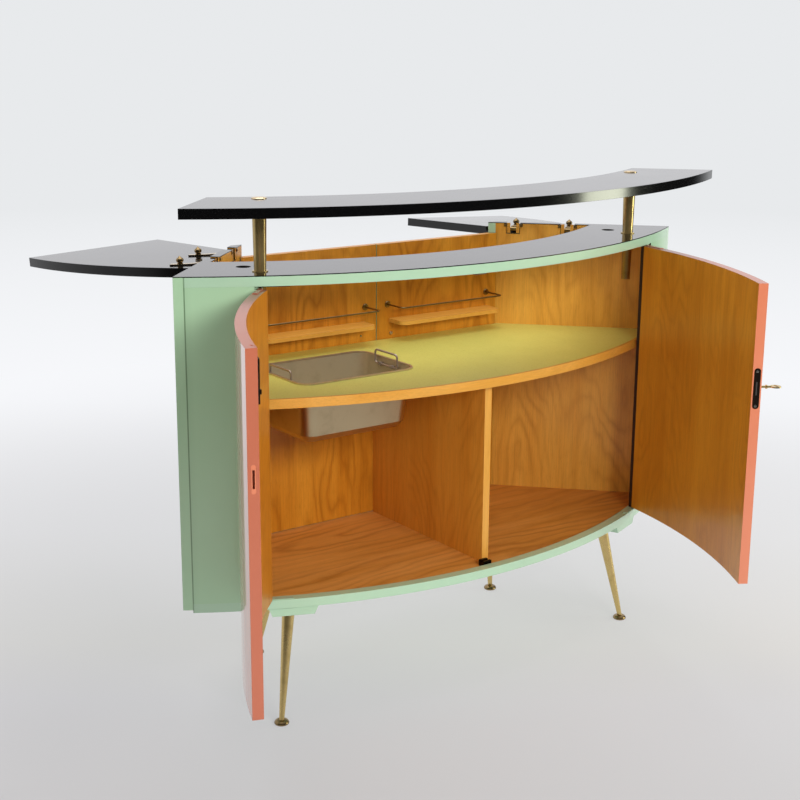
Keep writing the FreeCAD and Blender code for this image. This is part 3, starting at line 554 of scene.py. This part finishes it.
# each metal's colour and tarnish, least and most roughness, depth of its surface marks, and where it is
# brushed, how far the marks run. Metal worn matt scatters part of its light: metallic is under 1 there
metals = {
    "polishedBrass": {"colour": "#b8a06a", "stain": "#76623c", "roughness": (0.15, 0.30), "grain": 0.02,
                      "metallic": 0.72},
    # lacquered brass that has kept its colour: a pale warm shine
    "paleBrass": {"colour": "#d8c29c", "stain": "#a68c62", "roughness": (0.14, 0.26), "grain": 0.02},
    # out of reach of the polishing cloth: no clear reflection left
    "dullBrass": {"colour": "#a8925a", "stain": "#665228", "roughness": (0.38, 0.52), "grain": 0.04},
    "legBrass": {"colour": "#d8be80", "stain": "#ac9252", "roughness": (0.20, 0.36), "grain": 0.03},
    # cast brass that was never polished: brown, with a shine on its high spots
    "tarnishedBrass": {"colour": "#937c56", "stain": "#4e4230", "roughness": (0.22, 0.44), "grain": 0.05},
    "bronzedSteel": {"colour": "#4a3e36", "stain": "#221b17", "roughness": (0.30, 0.52), "grain": 0.06},
    # deep drawn stainless steel, brushed lengthways: reflections spread across the brush marks
    "brushedSteel": {"colour": "#cbb894", "stain": "#b3a07e", "roughness": (0.30, 0.42), "grain": 0.10,
                     "brush": (0.03, 1, 1)},
    "basinSteel": {"colour": "#d0c6a8", "stain": "#bcb08e", "roughness": (0.30, 0.42), "grain": 0.10,
                   "brush": (0.03, 1, 1), "metallic": 0.68},
    "rimSteel": {"colour": "#d6c8ae", "stain": "#b4a68c", "roughness": (0.26, 0.36), "grain": 0.03,
                 "metallic": 0.85},
    "ringSteel": {"colour": "#b8aca0", "stain": "#8d8278", "roughness": (0.34, 0.46), "grain": 0.03,
                  "metallic": 0.75},
    # zinc plate, cloudy grey with a slight shine
    "zincSteel": {"colour": "#b9b4aa", "stain": "#837c70", "roughness": (0.24, 0.40), "grain": 0.05},
    # blackened iron: dull, almost no reflection left; on the upper left front hinge plate it is painted shade,
    # the dark gap under the band
    "blackIronAndGapShade": {"colour": "#26211d", "stain": "#120f0d", "roughness": (0.45, 0.60), "grain": 0.06},
}
rubbed = {
    "cloud": 26.0,      # stains 38 mm across
    "stains": [(0.50, 0.0), (0.75, 0.6)],
    "marks": 900.0,     # fine marks 1.1 mm apart
    "arris": 0.0003,
}


def metal(name):
    tone = metals[name]
    mat = newMaterial(name)
    metres = addNode(mat, "TexCoord").outputs["Object"]
    cloud = addNode(mat, "TexNoise", (metres, rubbed["cloud"], 5.0, 0.6))
    spots = addNode(mat, "ValToRGB", (cloud,), stops=rubbed["stains"])
    colour = addNode(mat, "Mix", (spots, rgb(tone["colour"]), rgb(tone["stain"])), data_type="RGBA")
    sheen = addNode(mat, "MapRange", (cloud, 0.0, 1.0, *tone["roughness"]))
    way = addNode(mat, "Mapping", {"Vector": metres, "Scale": tone.get("brush", (1, 1, 1))})
    marks = addNode(mat, "TexNoise", (way, rubbed["marks"], 3.0))
    return makeSurface(mat, Base_Color=colour, Roughness=sheen, Metallic=tone.get("metallic", 1.0),
                       Normal=makeRelief(mat, marks, tone["grain"], arris=rubbed["arris"]))


mint = lacquer("mintLacquer", paints["mintLacquer"])
frontMint = lacquer("frontMintLacquer", paints["mintLacquer"], seamed=True)
panelMint = lacquer("panelMintLacquer", paints["panelMint"], seamed=True)
lipLitPaint = lacquer("lipPaintedLight", paints["lipPaintedLight"])
coral = lacquer("coralLacquer", paints["coralLacquer"])
edgeCoral = lacquer("edgeCoralLacquer", paints["edgeCoral"])
jambGapShade, holeAndGapShade, blackenedBronze = (darkFinish(name) for name in darks)
melamine, blackEdge, leafEdge = (black(name) for name in blacks)
olive = oliveLaminate()
metalOf = {name: metal(name) for name in metals}
print("plain finishes made")


def facing(direction, limit=0.9):
    # picks faces that look a given way
    direction = Vector(direction).normalized()
    return lambda normal, centre: normal.dot(direction) > limit


def lyingFlat(normal, centre):
    return abs(normal.z) > 0.9


def hollowFace(middle):
    # the hollow face of a curved board, by its centre of curve
    def rule(normal, centre):
        inward = Vector((middle[0], middle[1], centre.z)) - centre
        return normal.dot(inward.normalized()) > 0.6
    return rule


def dress(names, main, *others):
    # main finish everywhere, then (finish, rule) pairs for the faces that a rule picks
    for name in names.split():
        mesh = nodes[name].data
        mesh.materials.clear()
        mesh.materials.append(main)
        for finish, rule in others:
            mesh.materials.append(finish)
        for face in mesh.polygons:
            face.material_index = 0
            for index, (finish, rule) in enumerate(others, 1):
                if rule(face.normal, face.center):
                    face.material_index = index
                    break


sidePanels = {
    "lacquerReturn": {-1: 0.0, 1: 0.013},   # how far the mint return and the painted gap shade reach in from the rear edge
    # dark brown painted shade of the gap between each back door and its side panel
    "shadedMargin": "#55300f",
    "hinges": (0.245, 0.378),               # leaf hinges, along the panel from its front corner
    "notchWidth": 0.034,
    "notchDepth": 0.0275,
    "topArris": 0.0025,                     # the panel's top edge stays lacquered this far down
    "slack": 0.0005,
    "marginEdge": 0.0004,                   # half width of the margin's soft edges
    "returnEdge": 0.0005,
}


def inNotch(side):
    # walls and floors of the leaf hinges' notches, in the top of a side panel
    low = plan["counterTop"] - sidePanels["notchDepth"] - 2 * sidePanels["slack"]
    high = plan["counterTop"] - sidePanels["topArris"]
    reach = sidePanels["notchWidth"] / 2 + sidePanels["slack"]

    def rule(normal, centre):
        along = (centre - bySide(side, 0, 0, centre.z)).dot(alongSide[side])
        near = any(abs(along - spot) < reach for spot in sidePanels["hinges"])
        return near and low <= centre.z < high and abs(normal.dot(outOfSide[side])) < 0.5
    return rule


def rearMargin(limit):
    # the veneer stops short of the rear edge: mint returns above the back doors, and below their tops the
    # strip is painted dark brown as the shade of the gap beside them
    def edged(mat, wood):
        drift, paint = sprayedColour(mat, paints["mintLacquer"])
        place = addNode(mat, "SeparateXYZ", (addNode(mat, "TexCoord").outputs["Object"],))
        soft, softTop, top = sidePanels["marginEdge"], sidePanels["returnEdge"], plan["backDoorTop"]
        within = addNode(mat, "MapRange", (place.outputs["Y"], limit - soft, limit + soft, 1.0, 0.0))
        above = addNode(mat, "MapRange", (place.outputs["Z"], top - softTop, top + softTop, 0.0, 1.0))
        shadedMargin = addNode(mat, "Mix", (above, rgb(sidePanels["shadedMargin"]), paint), data_type="RGBA")
        return addNode(mat, "Mix", (within, shadedMargin, wood), data_type="RGBA")
    return edged


panelSkins = {}
for side, name in ((-1, "left"), (1, "right")):
    limit = plan["rearY"] - sidePanels["lacquerReturn"][side]
    panelSkins[side] = veneer("sideVeneer_" + name, woods["panelVeneer"], alongSide[side], upward,
                              shift=(0.055, 0, 0.1), relief=0.08, edged=rearMargin(limit))
    dress("side_panel_" + name, panelMint, (panelSkins[side], inNotch(side)),
          (panelSkins[side], facing(-outOfSide[side])))
    skin = veneer("frontPanelVeneer_" + name, woods["panelVeneer"], widthways, upward, shift=(0.02, 0, 0.3))
    jambWay = Vector((-side * cos(jambAngle), -sin(jambAngle), 0))
    # jambs: painted dark brown shade of the gap by the doors; left panel's flat ends: painted near black shade
    # of the gap over the left door; the right one's were sprayed over
    dress("front_panel_" + name, panelMint, (skin, hollowFace(plan["frontCentre"])),
          (jambGapShade, facing(jambWay, 0.8)), (holeAndGapShade if side < 0 else mint, lyingFlat))

floorVeneer = veneer("floorVeneer", woods["floorVeneer"], inDepth, widthways, shift=(0.03, 0, 0))
dress("bottom_board", frontMint,
      # the sunk floor is veneered, the lip before it is lacquered a paler mint, painted light against the
      # band's shade
      (floorVeneer, lambda normal, centre: normal.z > 0.9 and centre.z < plan["floorTop"] + plan["lipRise"]),
      (lipLitPaint, facing(upward)))
dress("leg_blocks", mint)

counter = {
    "postInset": 0.0532,        # the posts stand this far in from the front's curve
    "postX": 0.5,
    "spareBack": 0.066,         # spare sockets, behind the posts
    "socketReach": 0.0165,
}
postY = centreY - sqrt((plan["frontRadius"] - counter["postInset"]) ** 2 - counter["postX"] ** 2)
postSockets = [(side * counter["postX"], postY + back)
               for side in (-1, 1) for back in (0.0, counter["spareBack"])]


def inSocket(normal, centre):
    return abs(normal.z) < 0.5 and any(hypot(centre.x - x, centre.y - y) < counter["socketReach"]
                                       for x, y in postSockets)


underVeneer = veneer("underVeneer", woods["backVeneer"], inDepth, widthways)
# the posts' sockets are painted near black inside, as the shade down the holes
dress("counter_board", frontMint, (holeAndGapShade, inSocket), (underVeneer, facing(-upward)))
dress("counter_laminate", blackEdge, (holeAndGapShade, inSocket), (melamine, facing(upward)))
dividerVeneer = veneer("dividerVeneer", woods["dividerVeneer"], inDepth, upward, shift=(0.05, 0, 0))
lipping = veneer("beechLipping", woods["beechLipping"], upward, widthways)
uprightLipping = veneer("uprightBeech", woods["beechLipping"], widthways, upward)
dress("center_divider", dividerVeneer, (uprightLipping, facing(frontward)))
dress("work_shelf", underVeneer)
dress("work_laminate", olive)
dress("work_edging", lipping)
print("carcass dressed")

backVeneer = veneer("backVeneer", woods["backVeneer"], widthways, upward, shift=(0.07, 0, 0.05))
backEdge = veneer("backEdgeVeneer", woods["dividerVeneer"], inDepth, widthways)
dress("back_door_left back_door_right", panelMint, (backVeneer, facing(frontward)),
      (backEdge, facing(upward)))
galleryVeneer = veneer("galleryVeneer", woods["galleryVeneer"], inDepth, widthways)
dress("gallery_shelf_left gallery_shelf_right", galleryVeneer,
      (lipping, lambda normal, centre: abs(normal.z) < 0.5))

frontDoors = {
    "pivotBack": 0.0038,            # hinge pins, behind the front's curve and beyond the door's edge
    "pivotOut": 0.0056,
    "open": {-1: -110.2, 1: 58.2},  # how far each door stands open, in degrees
    "film": {-1: 0.14, 1: 0.28},    # the right door keeps more of its clear lacquer
    "meeting": {-1: edgeCoral, 1: coral},
}
pivotAngle = jambAngle + frontDoors["pivotOut"] / plan["frontRadius"]
pivots = {side: about(plan["frontRadius"] - frontDoors["pivotBack"], side * pivotAngle) for side in (-1, 1)}
swings = {side: Matrix.Rotation(radians(angle), 4, "Z") for side, angle in frontDoors["open"].items()}


def opened(side, point):
    # where a point of a shut front door is once the door stands open
    return pivots[side] + swings[side] @ (Vector(point) - pivots[side])


for side, name in ((-1, "left"), (1, "right")):
    across = swings[side] @ widthways
    skin = veneer("doorVeneer_" + name, woods[name + "DoorVeneer"], across, upward, shift=(0.03, 0, 0.2),
                  film=frontDoors["film"][side])
    dress("front_door_" + name, coral, (skin, hollowFace(opened(side, (centreX, centreY, 0)))),
          (frontDoors["meeting"][side], facing(-side * across, 0.8)), (edgeCoral, facing(upward)))
print("doors dressed")

dress("upper_shelf", blackEdge, (melamine, lyingFlat))
dress("leaf_left leaf_right", leafEdge, (melamine, lyingFlat))
dress("post_left post_right post_ferrules", metalOf["polishedBrass"],
      (metalOf["dullBrass"], lambda normal, centre: centre.z < plan["ceiling"]))
dress("post_flanges leaf_arms_left", metalOf["paleBrass"])
dress("leg_front_left leg_front_right leg_rear_left leg_rear_right key", metalOf["legBrass"])
dress("leaf_arms_right leaf_knobs_left leaf_knobs_right leaf_hinge_saddles leaf_hinge_pins "
      "leaf_hinge_screws gallery_rail_left gallery_rail_right gallery_rosettes_left "
      "gallery_rosettes_right glides", metalOf["tarnishedBrass"])
dress("lock_case flush_bolt", metalOf["bronzedSteel"])
dress("flush_bolt_plate", blackenedBronze)
dress("strike_plate", coral)
dress("front_hinge_straps_left front_hinge_straps_right", edgeCoral)     # painted over with the doors
# the hinge plates were sprayed mint with the carcass, but the upper left one is painted near black as the
# shade in the gap under the band above the left door
dress("front_hinge_plates", metalOf["blackIronAndGapShade"],
      (mint, lambda normal, centre: centre.x > 0 or centre.z < 0.5))
dress("foot_catch", metalOf["blackIronAndGapShade"])
dress("lock_bolt top_catch back_hinge_frames back_hinge_leaves_left back_hinge_leaves_right",
      metalOf["zincSteel"])
dress("back_door_peg", metalOf["rimSteel"])
sinkLow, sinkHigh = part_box("sink")
sinkMouth = Vector(((sinkLow[0] + sinkHigh[0]) / 2, (sinkLow[1] + sinkHigh[1]) / 2, sinkHigh[2]))


def inBasin(normal, centre):
    # faces below the work top that look towards the middle of the sink's mouth
    return normal.dot(sinkMouth - centre) > 0.002 and centre.z < plan["workTop"]


dress("sink", metalOf["brushedSteel"],
      (metalOf["rimSteel"], lambda normal, centre: centre.z > plan["workTop"]),
      (metalOf["basinSteel"], inBasin))
dress("sink_lugs sink_handle_left sink_handle_right", metalOf["ringSteel"])
print("fittings dressed")


def placePiece(mesh, name, body, finish):
    # a finished mesh becomes a piece that rides on a body
    bmesh.ops.recalc_face_normals(mesh, faces=mesh.faces)
    data = bpy.data.meshes.new(name)
    mesh.to_mesh(data)
    mesh.free()
    data.materials.append(finish)
    piece = bpy.data.objects.new(name, data)
    bpy.context.scene.collection.objects.link(piece)
    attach(piece, body)
    return piece


screws = {
    "slotWidth": 0.0007,
    "slotDepth": 0.0006,
    "dome": 0.75,               # share of its height that a head loses from its middle to its edge
    "steps": 8,                 # divisions along the slot
    "columns": (0.999, 0.8, 0.5),   # where a head is divided across its slot, by shares of its radius
    "thinnest": 0.00005,
    # radius and height of the heads on each fitting
    "lock": (0.0030, 0.0006),
    "leafHinge": (0.0026, 0.0012),
    "backHinge": (0.0033, 0.0008),
}


def slottedHead(mesh, spot, outward, slotWay, radius, rise):
    # a domed head in strips that run along its slot, so the slot has clean walls
    spot, outward = Vector(spot), Vector(outward).normalized()
    slotWay = (Vector(slotWay) - outward * outward.dot(Vector(slotWay))).normalized()
    cross = outward.cross(slotWay)
    half, steps = screws["slotWidth"] / 2, screws["steps"]
    left = [(-radius * share, 0) for share in screws["columns"]] + [(-half, 0), (-half, 1)]
    columns = left + [(-x, sunk) for x, sunk in reversed(left)]
    rows = []
    for x, sunk in columns:
        reach = sqrt(radius ** 2 - x ** 2)
        row = []
        for step in range(steps + 1):
            y = reach * (2 * step / steps - 1)
            height = rise * (1 - screws["dome"] * (x * x + y * y) / radius ** 2) - sunk * screws["slotDepth"]
            height = max(height, screws["thinnest"])
            row.append(mesh.verts.new(spot + cross * x + slotWay * y + outward * height))
        rows.append(row)
    for first, second in zip(rows, rows[1:]):
        for step in range(steps):
            mesh.faces.new((first[step], second[step], second[step + 1], first[step + 1]))
    rim = [row[0] for row in rows] + rows[-1][1:]
    rim += [row[-1] for row in reversed(rows[:-1])] + rows[0][-2:0:-1]
    foot = [mesh.verts.new(vert.co - outward * outward.dot(vert.co - spot)) for vert in rim]
    for step in range(len(rim)):
        after = (step + 1) % len(rim)
        mesh.faces.new((rim[step], foot[step], foot[after], rim[after]))


def screwSet(name, body, finish, size, places):
    mesh = bmesh.new()
    for spot, outward, slotWay in places:
        slottedHead(mesh, spot, outward, slotWay, *size)
    return placePiece(mesh, name, body, finish)


lockFace = {"edge": 0.00075, "y": -0.237, "z": 0.714, "screws": 0.0365}     # screws, above and below z
lockOut = -(swings[1] @ widthways)
places = [(opened(1, (lockFace["edge"], lockFace["y"], lockFace["z"] + up * lockFace["screws"])),
           lockOut, (0.3, 0.2, 1)) for up in (-1, 1)]
screwSet("lock_screws", "right_door", metalOf["zincSteel"], screws["lock"], places)

# raised rim round the slot that the flush bolt's lever slides in; angles are from the middle plane
boltRim = {
    "low": 0.836,
    "high": 0.911,
    "near": -0.55,
    "far": -1.55,
    "bar": 0.30,                # width of the upright bars, in degrees
    "endBar": 0.006,
    "seat": 0.0015,
    "proud": 0.0050,
}
mesh = bmesh.new()
rings = []
for rise in (boltRim["seat"], boltRim["proud"]):
    for inset, endInset in ((0.0, 0.0), (boltRim["bar"], boltRim["endBar"])):
        far, near = radians(boltRim["far"] + inset), radians(boltRim["near"] - inset)
        low, high = boltRim["low"] + endInset, boltRim["high"] - endInset
        radius = plan["frontRadius"] - plan["doorThickness"] - rise
        rings.append([mesh.verts.new(opened(-1, about(radius, angle, z)))
                      for angle, z in ((far, low), (near, low), (near, high), (far, high))])
for first, second in ((0, 2), (2, 3), (3, 1), (1, 0)):
    for step in range(4):
        after = (step + 1) % 4
        mesh.faces.new((rings[first][step], rings[first][after], rings[second][after], rings[second][step]))
placePiece(mesh, "flush_bolt_rim", "left_door", blackenedBronze)

leafHinge = {"earReach": 0.0198, "screwDrop": 0.006, "earThickness": 0.0015}
places = []
for side in (-1, 1):
    for spot in sidePanels["hinges"]:
        for end in (-1, 1):
            ear = bySide(side, spot + end * leafHinge["earReach"],
                         -plan["sideThickness"] - leafHinge["earThickness"],
                         plan["counterTop"] - leafHinge["screwDrop"])
            places.append((ear, -outOfSide[side], (0, 0.4, 1)))
earScrews = screwSet("leaf_ear_screws", "cabinet", metalOf["tarnishedBrass"], screws["leafHinge"],
                     places)
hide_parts("leaf_hinge_screws")

# veneered cheeks close the notches' inner mouths beside the arms, which swing in the slot between them
cheek = {
    "from": 0.0072,             # along the panel, from the hinge's middle
    "to": 0.0152,
    "thickness": 0.0010,
    "foot": 0.0255,             # below the counter's top
    "head": 0.0004,
    "arris": 0.0003,
}
for side, name in ((-1, "left"), (1, "right")):
    mesh = bmesh.new()
    for spot in sidePanels["hinges"]:
        for end in (-1, 1):
            near, far = spot + end * cheek["from"], spot + end * cheek["to"]
            corners = []
            for drop in (cheek["foot"], cheek["head"]):
                for along, out in ((near, 0), (far, 0), (far, cheek["thickness"]), (near, cheek["thickness"])):
                    corner = bySide(side, along, out - plan["sideThickness"], plan["counterTop"] - drop)
                    corners.append(mesh.verts.new(corner))
            for ring in ((0, 1, 2, 3), (4, 5, 6, 7), (0, 1, 5, 4), (1, 2, 6, 5), (2, 3, 7, 6), (3, 0, 4, 7)):
                mesh.faces.new([corners[place] for place in ring])
    bmesh.ops.recalc_face_normals(mesh, faces=mesh.faces)
    bmesh.ops.bevel(mesh, geom=mesh.edges[:], offset=cheek["arris"], segments=1, affect="EDGES")
    placePiece(mesh, "notch_cheeks_" + name, "cabinet", panelSkins[side])

backHinge = {
    "z": (0.400, 0.820),
    "gap": 0.0008,              # between the hinge's line and the side panel
    "plateMiddle": 0.014,
    "plateThickness": 0.0015,
    "spacing": 0.020,
}
rearAlong = (plan["rearY"] - bySide(-1, 0, -plan["sideThickness"]).y) / cos(slant)
hingeX = -bySide(-1, rearAlong, -plan["sideThickness"]).x - backHinge["gap"]
hingeY = plan["rearY"] + backHinge["plateThickness"]
for body, name, side, out in (("cabinet", "left_frame", -1, 1), ("cabinet", "right_frame", 1, 1),
                              ("left_back_door", "left_leaf", -1, -1),
                              ("right_back_door", "right_leaf", 1, -1)):
    x = side * (hingeX + out * backHinge["plateMiddle"])
    places = [((x, hingeY, z + up * backHinge["spacing"]), inDepth, (0.5, 0, up + 0.6))
              for z in backHinge["z"] for up in (-1, 0, 1)]
    screwSet("hinge_screws_" + name, body, metalOf["zincSteel"], screws["backHinge"], places)
print("screws, rim and cheeks placed")
